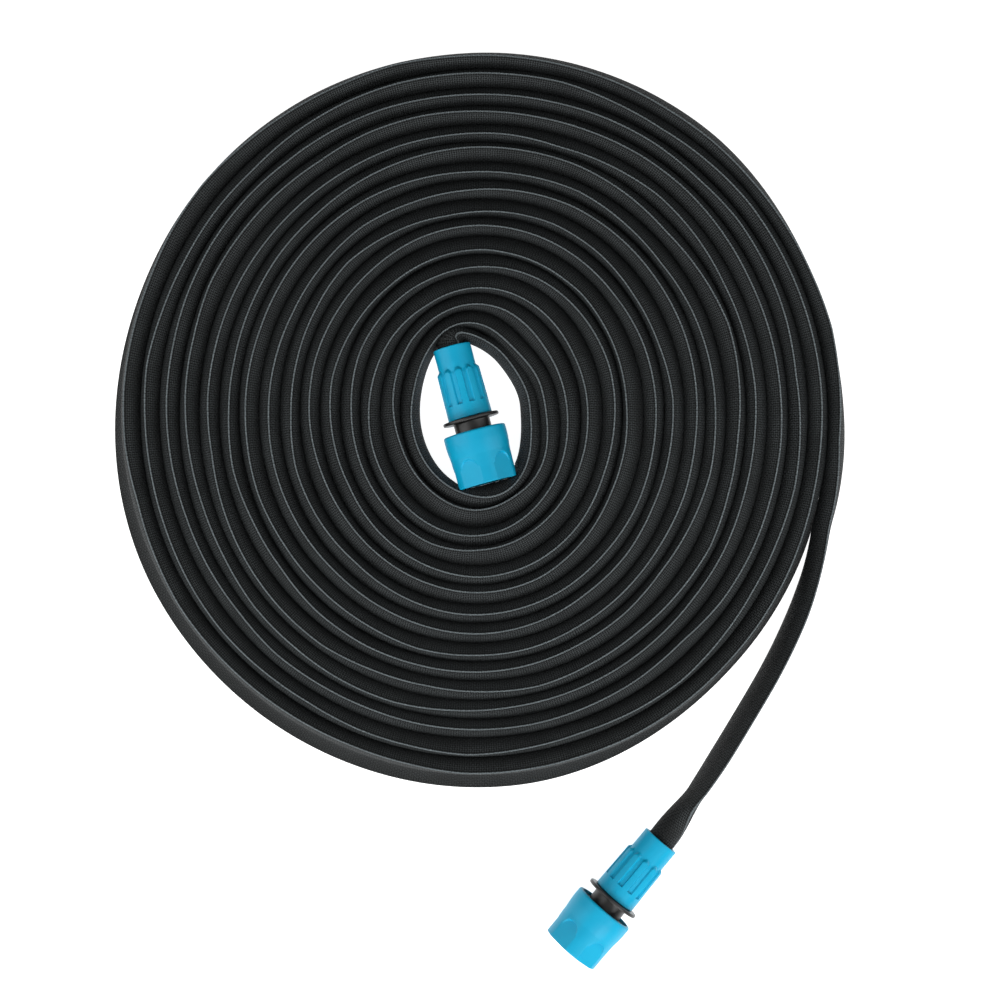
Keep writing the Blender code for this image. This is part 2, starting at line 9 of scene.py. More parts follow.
import bpy
import numpy as np
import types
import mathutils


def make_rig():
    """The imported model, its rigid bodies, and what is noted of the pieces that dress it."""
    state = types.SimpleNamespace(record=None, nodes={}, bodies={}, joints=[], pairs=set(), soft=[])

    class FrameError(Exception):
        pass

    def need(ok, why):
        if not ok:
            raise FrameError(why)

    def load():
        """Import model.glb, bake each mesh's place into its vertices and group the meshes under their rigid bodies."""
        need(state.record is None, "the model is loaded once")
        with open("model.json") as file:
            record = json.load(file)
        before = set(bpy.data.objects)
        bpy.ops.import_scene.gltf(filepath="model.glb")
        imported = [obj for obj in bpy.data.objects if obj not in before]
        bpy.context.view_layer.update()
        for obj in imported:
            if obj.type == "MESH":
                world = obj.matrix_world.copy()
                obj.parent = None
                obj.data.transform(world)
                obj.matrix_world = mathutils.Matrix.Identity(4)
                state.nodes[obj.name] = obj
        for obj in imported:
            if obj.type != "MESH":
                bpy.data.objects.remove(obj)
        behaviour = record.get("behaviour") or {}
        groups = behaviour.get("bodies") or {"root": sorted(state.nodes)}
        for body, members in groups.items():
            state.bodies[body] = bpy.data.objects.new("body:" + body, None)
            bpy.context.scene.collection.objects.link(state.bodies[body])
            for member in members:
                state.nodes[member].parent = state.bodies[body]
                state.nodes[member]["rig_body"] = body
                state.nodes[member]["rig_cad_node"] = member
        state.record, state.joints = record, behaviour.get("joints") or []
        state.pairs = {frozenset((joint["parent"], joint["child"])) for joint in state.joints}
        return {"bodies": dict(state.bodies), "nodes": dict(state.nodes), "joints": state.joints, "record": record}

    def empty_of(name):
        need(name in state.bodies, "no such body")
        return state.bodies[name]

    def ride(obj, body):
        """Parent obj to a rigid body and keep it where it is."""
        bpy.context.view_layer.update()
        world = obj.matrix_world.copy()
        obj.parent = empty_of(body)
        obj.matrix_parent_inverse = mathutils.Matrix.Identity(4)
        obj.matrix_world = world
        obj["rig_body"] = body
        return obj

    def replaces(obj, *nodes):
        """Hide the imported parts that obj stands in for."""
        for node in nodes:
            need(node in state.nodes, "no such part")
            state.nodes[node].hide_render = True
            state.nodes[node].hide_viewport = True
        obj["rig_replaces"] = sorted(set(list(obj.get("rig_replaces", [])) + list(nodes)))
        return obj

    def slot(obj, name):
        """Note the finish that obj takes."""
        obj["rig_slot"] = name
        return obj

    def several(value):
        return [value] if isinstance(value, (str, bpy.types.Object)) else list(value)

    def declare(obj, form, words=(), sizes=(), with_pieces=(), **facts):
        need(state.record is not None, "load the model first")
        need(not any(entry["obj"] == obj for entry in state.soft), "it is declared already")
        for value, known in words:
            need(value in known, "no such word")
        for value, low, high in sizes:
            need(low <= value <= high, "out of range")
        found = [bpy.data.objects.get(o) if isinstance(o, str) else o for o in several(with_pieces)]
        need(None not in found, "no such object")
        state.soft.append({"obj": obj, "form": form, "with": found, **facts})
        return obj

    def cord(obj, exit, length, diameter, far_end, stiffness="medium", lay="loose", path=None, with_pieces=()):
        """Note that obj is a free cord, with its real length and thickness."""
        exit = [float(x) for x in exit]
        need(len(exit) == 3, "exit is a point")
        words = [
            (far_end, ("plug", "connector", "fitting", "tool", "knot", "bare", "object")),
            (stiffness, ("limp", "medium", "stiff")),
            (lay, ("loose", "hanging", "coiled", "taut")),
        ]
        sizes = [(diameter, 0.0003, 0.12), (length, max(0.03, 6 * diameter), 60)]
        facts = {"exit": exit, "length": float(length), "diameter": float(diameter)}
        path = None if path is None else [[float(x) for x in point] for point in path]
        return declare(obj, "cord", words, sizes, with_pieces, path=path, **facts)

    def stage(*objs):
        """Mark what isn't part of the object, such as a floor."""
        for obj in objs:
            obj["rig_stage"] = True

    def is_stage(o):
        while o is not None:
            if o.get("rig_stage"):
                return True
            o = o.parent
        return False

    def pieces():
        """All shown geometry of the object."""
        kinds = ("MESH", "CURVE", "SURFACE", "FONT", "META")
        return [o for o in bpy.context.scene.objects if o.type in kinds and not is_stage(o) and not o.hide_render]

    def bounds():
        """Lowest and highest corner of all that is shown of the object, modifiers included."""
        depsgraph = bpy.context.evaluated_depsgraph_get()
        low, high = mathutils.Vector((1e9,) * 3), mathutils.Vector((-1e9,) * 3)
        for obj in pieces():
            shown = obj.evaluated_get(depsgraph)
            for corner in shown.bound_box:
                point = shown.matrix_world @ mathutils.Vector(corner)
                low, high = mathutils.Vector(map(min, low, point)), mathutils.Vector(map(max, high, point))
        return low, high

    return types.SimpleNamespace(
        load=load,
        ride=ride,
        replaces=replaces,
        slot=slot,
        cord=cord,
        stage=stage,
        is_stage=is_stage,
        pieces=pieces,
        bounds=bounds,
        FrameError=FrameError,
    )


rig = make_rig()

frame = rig.load()
cad_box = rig.bounds()

MM = 0.001

# ---- Hose ----
HOSE_WIDTH = 24.0 * MM          # flat width, which stands upright
HALF_THICKNESS = 4.75 * MM      # half of the slightly open hose
HOSE_ROUND = 7.65 * MM          # radius where it is pulled over a tail
LIP = 0.42 * MM                 # half thickness of the pressed fold
BULGE = 2.2                     # power of the flank's curve: 2 is a parabola
LAP = 0.25 * MM                 # how far a flank goes into the next turn, so that no floor shows between them
HALF_LIMITS = (3.6 * MM, 8.5 * MM)      # least and most half thickness in the coil
FREE_HALF = 2.7 * MM            # half thickness of the free stretch, which lies flatter
LEAN_LIMIT = 4.4 * MM           # the most that an upper fold leans over
FINE_STEP, LONG_STEP = 1.5 * MM, 4.3 * MM       # between sections: near a connector, and elsewhere
FINE_INNER, FINE_OUTER = 200 * MM, 90 * MM      # how far from each end the sections are fine

# ---- Coil, as the CAD winds it ----
COIL_CENTRE = (-0.53 * MM, 50.7 * MM)
OUTER_RADIUS = 191.0 * MM
RING_SHRINK = (10.75 * MM, 9.82 * MM)   # how much each ring is smaller than the one round it, across and along
RING_SHIFT = (-0.10 * MM, 0.20 * MM)    # how far each ring's middle is from that of the one round it
START_ANGLE = math.radians(-18.0)       # where the free stretch leaves the coil
STEADY_SHARE = 0.2              # share of a ring lost evenly round a turn; the rest goes in one soft step
STEP_START, STEP_WIDTH = 0.765, 0.28    # where in each turn that step is
FULL_TURNS = 15
LAST_TURN = 15.02               # turns after which the hook to the inner connector begins

# ---- Connectors ----
AXIS_HEIGHT = 17.4 * MM
CONNECTORS = {
    "outer": ((94.6 * MM, -177.8 * MM), math.radians(230.0)),
    "inner": ((-17.4 * MM, 86.1 * MM), math.radians(285.0)),
}
# Where a collar's first flat is, turned from straight down.
FLAT_TURNS = {"outer": math.radians(74.0), "inner": math.radians(65.0)}
NUT_REACH = 2.5 * MM            # how far the hose goes into a nut before its cuff takes over

# The free stretch from the coil to the outer nut, and the hook from the last turn to the inner nut, mm.
FREE_ROUTE = [(180.7, -9.7), (178.7, -26.2), (174.1, -42.4), (168.9, -57.1), (161.4, -73.8), (153.2, -89.4),
              (145.2, -102.9), (137.5, -115.4), (130.4, -126.8), (123.7, -137.2), (117.2, -146.9), (110.6, -156.2),
              (103.9, -165.4)]
HOOK_ROUTE = [(24.9, 49.9), (24.0, 58.2), (21.0, 66.1), (16.6, 73.5), (11.1, 80.9), (7.4, 84.6), (3.3, 87.6),
              (-1.3, 90.3), (-6.2, 92.4), (-10.9, 93.5), (-15.0, 93.4), (-18.0, 91.6)]

# Where the upper fold is pushed outwards (+) or inwards (-) by what it lies against: mm, at which turn, gone how far
# off. The innermost ones are at the hook and at the inner collar.
FOLD_PUSHES = [(1.5, 0.89, 0.14), (3.0, 14.9, 0.14), (-2.8, 13.16, 0.2), (-2.6, 14.18, 0.1), (5.4, 14.38, 0.16),
               (3.8, 13.95, 0.13), (1.2, 14.56, 0.2)]


# ---------------------------------------------------------------- shapes

def smooth(value):
    """0 below 0, 1 above 1, and 3v² - 2v³ between."""
    value = np.clip(value, 0.0, 1.0)
    return value * value * (3 - 2 * value)


def bump(value, middle, width):
    """A soft hill of height 1 round middle, gone at width either side."""
    return smooth(1 - np.abs(value - middle) / width)


def wander(distance, wavelength, seed, kinked=False):
    """A random wave from -1 to 1: seeded values every half wavelength, joined by 3v² - 2v³ steps, or by straight
    lines where it is kinked."""
    place = distance / (wavelength / 2)
    knots = np.random.default_rng(seed).uniform(-1, 1, int(place.max()) + 3)
    first = np.floor(place).astype(int)
    step = place - first
    return knots[first] + (knots[first + 1] - knots[first]) * (step if kinked else smooth(step))


def grid_solid(name, points, capped=False, layers=()):
    """A closed mesh from a grid of points, rows along and columns round.

    Columns always join up. Rows join up too, unless capped: then each end row is closed by a fan to its middle.
    The faces are turned outwards if the volume they hold, the sum of a·(b×c)/6, comes out negative.
    """
    rows, columns = points.shape[:2]
    index = np.arange(rows * columns).reshape(rows, columns)
    following = np.roll(index, -1, axis=0)
    if capped:
        index, following = index[:-1], following[:-1]
    faces = np.stack([index, following, np.roll(following, -1, axis=1), np.roll(index, -1, axis=1)], -1)
    faces = faces.reshape(-1, 4)
    flat = points.reshape(-1, 3)
    a, b, c, d = (flat[faces[:, k]] for k in range(4))
    volume = (a * np.cross(b, c)).sum() + (a * np.cross(c, d)).sum()
    fans = []
    if capped:
        ends = [np.arange(columns), np.arange(columns)[::-1] + (rows - 1) * columns]
        flat = np.vstack([flat, points[0].mean(0), points[-1].mean(0)])
        hub = len(flat) - 2
        fans = [np.stack([np.full(columns, hub + k), end, np.roll(end, -1)], -1) for k, end in enumerate(ends)]
    if volume < 0:
        faces, fans = faces[:, ::-1], [fan[:, ::-1] for fan in fans]
    mesh = bpy.data.meshes.new(name)
    mesh.from_pydata(flat.tolist(), [], faces.tolist() + [row for fan in fans for row in fan.tolist()])
    for layer, values in layers:
        values = np.vstack([values.reshape(-1, 3), np.zeros((len(flat) - rows * columns, 3))])
        data = mesh.attributes.new(layer, "FLOAT_VECTOR", "POINT").data
        data.foreach_set("vector", values.astype(np.float32).ravel())
    mesh.shade_smooth()
    made = bpy.data.objects.new(name, mesh)
    bpy.context.scene.collection.objects.link(made)
    return made


# ---------------------------------------------------------------- the hose's line

def ring_number(turns):
    """Which ring the hose is on: 0.2 of a ring is lost evenly round each turn and 0.8 in one soft step."""
    steps = sum(smooth((turns - turn - STEP_START) / STEP_WIDTH) for turn in range(FULL_TURNS + 1))
    return STEADY_SHARE * turns + (1 - STEADY_SHARE) * steps


def fold_drift(turns):
    """How far outwards of the CAD's ring the upper fold runs, before its wander.

    a + b·ring, where a = 1.6 - 0.6cos - 0.3sin - 0.35cos2 and b = -0.51 - 0.15sin + 0.15cos2 of the angle, in mm,
    and the soft hills of FOLD_PUSHES on it.
    """
    ring, angle = ring_number(turns), START_ANGLE + 2 * np.pi * turns
    drift = 1.6 - 0.6 * np.cos(angle) - 0.3 * np.sin(angle) - 0.35 * np.cos(2 * angle)
    drift = drift + (-0.51 - 0.15 * np.sin(angle) + 0.15 * np.cos(2 * angle)) * ring
    return (drift + sum(push * bump(turns, turn, width) for push, turn, width in FOLD_PUSHES)) * MM


def drift_share(turns):
    """The share of fold_drift that the whole section takes: half, or most in the two turns over the hook. The upper
    fold leans by the rest. In the outermost turns it does all of it."""
    share = 0.5 + 0.5 * bump(turns, 14.18, 0.26) + 0.3 * bump(turns, 13.16, 0.22)
    return share * smooth(ring_number(turns) / 5)


def coil_line(turns):
    """The middle of the hose: an ellipse that shrinks with ring_number, moved by drift_share of fold_drift, and bent
    once where the free stretch leaves it."""
    ring, angle = ring_number(turns), START_ANGLE + 2 * np.pi * turns
    shift = drift_share(turns) * fold_drift(turns) * (1 - 0.9 * bump(turns, 14.9, 0.14))
    shift = shift + (1.1 * bump(turns, 0.0, 0.1) - 1.1 * bump(turns, 0.1, 0.1)) * MM
    half = [OUTER_RADIUS - shrink * ring + shift for shrink in RING_SHRINK]
    return np.stack([COIL_CENTRE[0] + RING_SHIFT[0] * ring + half[0] * np.cos(angle),
                     COIL_CENTRE[1] + RING_SHIFT[1] * ring + half[1] * np.sin(angle)], -1)


def through(points, steps=24):
    """A Catmull-Rom curve through the points: each span is a cubic of its four nearest points."""
    points = np.array(points, float)
    points = np.vstack([2 * points[0] - points[1], points, 2 * points[-1] - points[-2]])
    t = np.linspace(0, 1, steps, endpoint=False)[:, None]
    a, b, c, d = (points[None, k:len(points) - 3 + k] for k in range(4))
    t = t[:, None]
    spans = 0.5 * (2 * b + (c - a) * t + (2 * a - 5 * b + 4 * c - d) * t ** 2 + (3 * b - a - 3 * c + d) * t ** 3)
    return np.vstack([spans.transpose(1, 0, 2).reshape(-1, 2), points[-2]])


def reach_of(line):
    """Distance along a line to each of its points."""
    return np.concatenate([[0.0], np.cumsum(np.linalg.norm(np.diff(line, axis=0), axis=1))])


def at(reach, values, wanted):
    """Points at the wanted distances, on straight lines between those given."""
    return np.stack([np.interp(wanted, reach, values[:, k]) for k in range(values.shape[1])], -1)


def hose_line():
    """The whole line seen from above: inner nut, hook, coil, free stretch, outer nut, rounded over 3 mm.

    Gives points every 1.5 mm, the turns done at each, and the distances where the coil begins and ends.
    """
    def into(side):
        """Three points straight into a nut."""
        mouth, heading = CONNECTORS[side]
        way = np.array([math.cos(heading), math.sin(heading)])
        return [tuple(np.array(mouth) + way * reach) for reach in (-4 * MM, 0.0, NUT_REACH)]
    turns = np.linspace(LAST_TURN, 0, 24000)
    coil = coil_line(turns)
    hook = through(into("inner")[::-1] + [(x * MM, y * MM) for x, y in HOOK_ROUTE[::-1]] + [tuple(coil[0])])
    free = through([tuple(coil[-1])] + [(x * MM, y * MM) for x, y in FREE_ROUTE[1:]] + into("outer"))
    line = np.vstack([hook[:-1], coil, free[1:]])
    done = np.concatenate([np.full(len(hook) - 1, LAST_TURN), turns, np.zeros(len(free) - 1)])
    reach = reach_of(line)
    marks = (reach[len(hook)], reach[len(hook) + len(coil)])
    even = np.linspace(0, reach[-1], int(reach[-1] / FINE_STEP))
    line, done = at(reach, line, even), np.interp(even, reach, done)
    kernel = np.exp(-0.5 * (np.arange(-6, 7) / 2.0) ** 2)
    kernel /= kernel.sum()
    padded = np.vstack([2 * line[0] - line[6:0:-1], line, 2 * line[-1] - line[-2:-8:-1]])
    line = np.stack([np.convolve(padded[:, k], kernel, "valid") for k in range(2)], -1)
    return line, done, marks


LINE, TURNS, (COIL_FROM, COIL_TO) = hose_line()
REACH = reach_of(LINE)
HOSE_LENGTH = REACH[-1]


# ---------------------------------------------------------------- the hose

def section_loop():
    """Round the section from the upper fold, down the outward flank and up the inward one: height v and side."""
    down = np.array([0.992, 0.965, 0.93, 0.86, 0.76, 0.62, 0.44, 0.22, 0.0, -0.22, -0.44, -0.62, -0.76, -0.86,
                     -0.93, -0.965, -0.992])
    v = np.concatenate([[1.0], down, [-1.0], down[::-1]])
    side = np.concatenate([[0.0], np.ones(len(down)), [0.0], -np.ones(len(down))])
    return v, side


def clear_of_connector(points, movable):
    """Where the hose would cut into the inner connector it is pressed aside: out along the connector's normal to
    sqrt(R² - h²) + gap, or forwards past the mouth, whichever is nearer."""
    mouth, heading = CONNECTORS["inner"]
    along = np.array([math.cos(heading), math.sin(heading)])
    left = np.array([-along[1], along[0]])
    flat = points[..., :2] - np.array(mouth)
    s, y, h = flat @ along, flat @ left, points[..., 2] - AXIS_HEIGHT
    radius = np.interp(s / MM, [-0.5, 0, 12, 14, 38.8, 38.9, 41.6, 41.7, 42, 42.1, 75.6, 75.7],
                       [0, 10.5, 10.5, 12.3, 12.4, 15.7, 15.7, 15.7, 15.7, 17.3, 17.3, 0]) * MM
    half = np.sqrt(np.maximum(radius ** 2 - h ** 2, 0))
    deep = np.where((half > 0) & movable[:, None], np.maximum(half + 0.3 * MM - np.abs(y), 0), 0)
    ahead = np.where(s > 60 * MM, 75.95 * MM - s, 1.0)
    sideways = deep * np.sign(y) * (deep <= ahead)
    forwards = np.where((deep > 0) & (deep > ahead), ahead, 0)
    points[..., :2] += sideways[..., None] * left + forwards[..., None] * along
    return points


def woven_hose():
    """The hose as one tube carried along its line.

    A section is a pointed lens: half width = side · half · (1 - |v|^2.2) at height v of its half width 12 mm, at
    least a 0.42 mm lip at each fold. In the coil half is the way to the middle of the gap to the next turn, and LAP.
    The folds lean by lean · |v|^2.2, and the whole section tilts by tilt · v. Near each nut it opens to a circle of
    7.65 mm.
    """
    total = HOSE_LENGTH
    stations = np.unique(np.concatenate([
        np.arange(0, FINE_INNER, FINE_STEP), np.arange(FINE_INNER, total - FINE_OUTER, LONG_STEP),
        np.arange(total - FINE_OUTER, total, FINE_STEP), [total]]))
    middle = at(REACH, LINE, stations)
    turns = np.interp(stations, REACH, TURNS)
    way = at(REACH, np.gradient(LINE, axis=0), stations)
    way /= np.linalg.norm(way, axis=1)[:, None]
    outward = np.stack([-way[:, 1], way[:, 0]], -1)

    on_coil = smooth((stations - COIL_FROM) / (20 * MM)) * smooth((COIL_TO - stations) / (20 * MM))
    to_free = smooth((stations - COIL_TO + 60 * MM) / (110 * MM))
    here = coil_line(np.clip(turns, 0, LAST_TURN))
    room_out = np.linalg.norm(coil_line(turns - 1) - here, axis=1) / 2
    room_in = np.linalg.norm(coil_line(turns + 1) - here, axis=1) / 2
    outermost, innermost = smooth((1.02 - turns) / 0.04), smooth((turns - LAST_TURN + 1.0) / 0.05)
    first_bend = bump(turns, 0.1, 0.1)
    half_out = np.clip(room_out + LAP, *HALF_LIMITS) * (1 - outermost)
    half_out = half_out + HALF_THICKNESS * (1 - 0.5 * first_bend) * outermost
    half_in = np.clip(room_in + LAP, *HALF_LIMITS) * (1 - innermost)
    half_in = half_in + (5.6 + 3.4 * bump(turns, 14.83, 0.11)) * MM * innermost + 2.2 * MM * bump(turns, 14.16, 0.2)

    from_inner, from_outer = stations - NUT_REACH, total - NUT_REACH - stations
    last = smooth((COIL_FROM + 10 * MM - stations) / (40 * MM))
    hook = smooth((40 * MM - from_inner) / (18 * MM))
    half_out = half_out * (1 - last) + (6.0 * (1 - hook) + 3.3 * hook) * MM * last
    half_in = half_in * (1 - last) + (4.6 * (1 - hook) + 4.4 * hook) * MM * last
    half_out = half_out * (1 - to_free) + FREE_HALF * to_free
    half_in = half_in * (1 - to_free) + FREE_HALF * to_free

    folds = on_coil + 0.25 * (1 - on_coil)
    drift = fold_drift(np.clip(turns, 0, LAST_TURN)) * (1 - drift_share(turns))
    zigzag = -1.3 * np.cos(np.pi * (turns - 0.05)) * smooth((turns - 2) / 3)
    bursts = 0.45 + 0.55 * wander(stations, 0.4, 44) ** 2
    wave = (0.9 * wander(stations, 0.21, 3) + 1.5 * wander(stations, 0.12, 5, kinked=True)
            + 0.9 * wander(stations, 0.06, 8, kinked=True) * bursts)
    lean_top = np.clip(drift + (zigzag + wave + 1.2 * first_bend) * MM, -LEAN_LIMIT, LEAN_LIMIT)
    lean_top = lean_top * folds * (1 - to_free) * (1 - last)
    splay = 8.5 * smooth((turns - 0.02) / 0.4) * smooth((1.06 - turns) / 0.06)
    splay = splay + 4.9 * smooth((turns - 0.48) / 0.15) * smooth((0.93 - turns) / 0.12)
    lean_low = (0.8 * wander(stations, 0.25, 13) * (1 - outermost) + splay) * MM * folds
    tilt = 3.9 * MM * to_free * (1 - 0.3 * smooth((60 * MM - from_outer) / (50 * MM)))
    belly = 0.10 * wander(stations, 0.16, 21) * on_coil

    open_outer = smooth((36 * MM - from_outer) / (32 * MM))
    open_inner = smooth((13 * MM - from_inner) / (11 * MM))
    openness = np.maximum(open_outer, open_inner)
    raised = np.maximum(smooth((130 * MM - from_outer) / (110 * MM)), smooth((22 * MM - from_inner) / (20 * MM)))
    half_height = HOSE_WIDTH / 2 - 0.2 * MM - 0.25 * MM * (1 + wander(stations, 0.09, 34))
    centre = half_height + 0.1 * MM
    centre = centre + (AXIS_HEIGHT - centre) * raised
    half_height = half_height * (1 - 0.22 * smooth((30 * MM - from_inner) / (20 * MM)))

    v, side = section_loop()
    power = np.abs(v) ** BULGE
    half = np.where(side[None] > 0, half_out[:, None], half_in[:, None])
    lens = half * (1 - power[None]) * (1 + belly[:, None] * np.sin(np.pi * v)[None])
    tip = LIP * np.where(np.abs(v) > 0.99, 0.72, 1.0)[None]
    lens = side[None] * np.maximum(lens, tip)
    lean = np.where(v[None] > 0, lean_top[:, None], lean_low[:, None]) * power[None]
    lens = lens + lean + tilt[:, None] * v[None]
    # The opening hose rolls over, so that its upper fold comes to the right at either nut.
    roll = (1.15 * open_outer - 0.55 * open_inner)[:, None]
    round_at = np.arctan2(side * np.sqrt(np.maximum(1 - v ** 2, 0)), v)[None] + roll
    across = lens + (HOSE_ROUND * np.sin(round_at) - lens) * openness[:, None]
    height = v[None] * half_height[:, None]
    up = centre[:, None] + height + (HOSE_ROUND * np.cos(round_at) - height) * openness[:, None]
    points = np.concatenate([middle[:, None] + across[..., None] * outward[:, None], up[..., None]], -1)
    points = clear_of_connector(points, from_inner > 14 * MM)

    # Cloth coordinates: distance down from the upper fold, the same on both flanks, and distance along.
    loop = np.stack([across, up], -1)
    gaps = np.linalg.norm(np.diff(loop, axis=1, append=loop[:, :1]), axis=-1)
    down = np.cumsum(gaps, axis=1) - gaps
    down = np.minimum(down, gaps.sum(1, keepdims=True) - down)
    cloth = np.stack([down, np.broadcast_to(stations[:, None], down.shape), np.zeros_like(down)], -1)
    return grid_solid("woven_hose", points, capped=True, layers=[("cloth", cloth)]), points.mean(axis=1)


# ---------------------------------------------------------------- the connectors' mouldings

def turned_moulding(name, side, along, radius, angle):
    """A ring with radius(s, angle) round its axis, laid level: s runs along the heading, angle 0 is straight down."""
    mouth, heading = CONNECTORS[side]
    ahead = np.array([math.cos(heading), math.sin(heading), 0.0])
    left = np.array([-ahead[1], ahead[0], 0.0])
    start = np.array([*mouth, AXIS_HEIGHT])
    points = (start + along[..., None] * ahead + (radius * np.sin(angle))[..., None] * left
              - (radius * np.cos(angle))[..., None] * np.array([0.0, 0.0, 1.0]))
    made = grid_solid(name, points)
    made.data.set_sharp_from_angle(angle=math.radians(38))
    return made


def outline(*stretches):
    """Rows of (s, radius) in mm, with each stretch of given points joined and cut to steps of its last number."""
    rows = []
    for points, step in stretches:
        points = np.array(points, float)
        for a, b in zip(points, points[1:]):
            count = max(1, int(math.ceil(np.linalg.norm(b - a) / step)))
            rows.append(a + (b - a) * np.linspace(0, 1, count, endpoint=False)[:, None])
        rows.append(points[-1:])
    rows = np.vstack(rows)
    keep = np.concatenate([[True], np.linalg.norm(np.diff(rows, axis=0), axis=1) > 1e-6])
    return rows[keep] * MM


def rounded(corner, before, after, size, steps=5):
    """A fillet: the quadratic curve from a point size before the corner to one size after it."""
    corner, before, after = (np.array(p, float) for p in (corner, before, after))
    a = corner + (before - corner) / np.linalg.norm(before - corner) * size
    b = corner + (after - corner) / np.linalg.norm(after - corner) * size
    t = np.linspace(0, 1, steps + 1)[:, None]
    return [tuple(p) for p in (1 - t) ** 2 * a + 2 * t * (1 - t) * corner + t ** 2 * b]


def clamp_nut(side):
    """Sleeve 10.2, shoulder, grip 11.6 to 12.0 mm. Eleven flutes 3.5 mm wide cut the grip from the shoulder to
    s 31.5: radius = grip - 1.1 · mask(angle) · window(s). The shoulder starts 1.7 mm later in the middle of a
    flute than on a rib, which scallops its edge."""
    columns = 330
    rows = outline(
        (rounded((0, 8.1), (2.2, 8.1), (0, 10.2), 0.3), 9), (rounded((0, 10.2), (0, 8.1), (12, 10.2), 0.6), 9),
        ([(0.8, 10.2), (11.0, 10.2)], 2.0), ([(11.0, 10.2), (17.0, 11.6)], 0.22),
        ([(17.0, 11.6), (30.8, 11.9)], 2.3),
        ([(30.8, 11.9), (32.0, 11.9)], 0.15), ([(32.0, 11.9), (38.0, 12.0)], 1.5),
        (rounded((39, 12.0), (32, 12.0), (39, 9.0), 0.5), 9), ([(39, 9.0), (2.2, 9.0), (2.2, 8.1)], 6.0))
    angle = np.broadcast_to(2 * np.pi * np.arange(columns) / columns, (len(rows), columns))
    s, base = rows[:, :1], rows[:, 1:]
    arc = ((angle * 11 / (2 * np.pi) + 0.5) % 1 - 0.5) * 2 * np.pi / 11 * 11.7 * MM
    flute = smooth((1.75 * MM - np.abs(arc)) / (0.75 * MM))
    rib = np.cos(np.pi * np.clip(arc / (3.34 * MM), -1, 1)) * 0.5 + 0.5
    grip = (11.6 + 0.4 * np.clip((s / MM - 14.2) / 24.8, 0, 1)) * MM
    grip = grip - 1.1 * MM * flute * smooth((31.6 * MM - s) / (0.35 * MM))
    begins = (11.4 + 1.7 * rib) * MM
    shoulder = smooth((s - begins) / (2.2 * MM))
    body = 10.2 * MM + (grip - 10.2 * MM) * shoulder
    outside = (base > 9.99 * MM) & (s > 1.0 * MM) & (s < 38.4 * MM)
    radius = np.where(outside, body, base)
    return turned_moulding(f"{side}_clamp_nut", side, np.broadcast_to(s, angle.shape), radius, angle)


def locking_collar(side):
    """Barrel 17.0 mm that narrows to a 16.2 waist and a 16.1 mouth: radius = the lesser of that and 14.9/cos on five
    flats, which begin under an arch: s > 61.2 + 5.2 - sqrt(5.2² - y²), drawn over 0.45 mm."""
    columns = 360
    rows = outline(
        (rounded((46.6, 15.0), (49, 15.0), (46.6, 17.0), 0.3), 9),
        (rounded((46.6, 17.0), (46.6, 15.0), (60, 17.0), 1.3, 8), 9),
        ([(47.9, 17.0), (52.5, 17.02), (56.0, 16.75), (59.8, 16.3)], 0.9), ([(59.8, 16.3), (67.5, 16.1)], 0.22),
        ([(67.5, 16.1), (74.6, 16.1)], 1.4), (rounded((75.6, 16.1), (60, 16.1), (75.6, 12.6), 0.6), 9),
        (rounded((75.6, 12.6), (75.6, 16.1), (73, 12.6), 0.4), 9),
        ([(73.4, 12.6), (72.4, 14.4), (55.0, 14.4), (54.4, 15.0), (46.9, 15.0)], 4.0))
    angle = np.broadcast_to(2 * np.pi * np.arange(columns) / columns, (len(rows), columns))
    s, base = rows[:, :1], rows[:, 1:]
    turn = (((angle - FLAT_TURNS[side]) * 5 / (2 * np.pi) + 0.5) % 1 - 0.5) * 2 * np.pi / 5
    plane = 14.9 * MM / np.cos(turn)
    y = np.abs(base * np.sin(turn))
    arch = (61.2 + 5.2) * MM - np.sqrt(np.maximum((5.2 * MM) ** 2 - np.minimum(y, 5.15 * MM) ** 2, 0))
    cut = smooth((s - arch) / (0.45 * MM)) * (base > 15.2 * MM)
    radius = base - np.maximum(base - plane, 0) * cut
    return turned_moulding(f"{side}_locking_collar", side, np.broadcast_to(s, angle.shape), radius, angle)


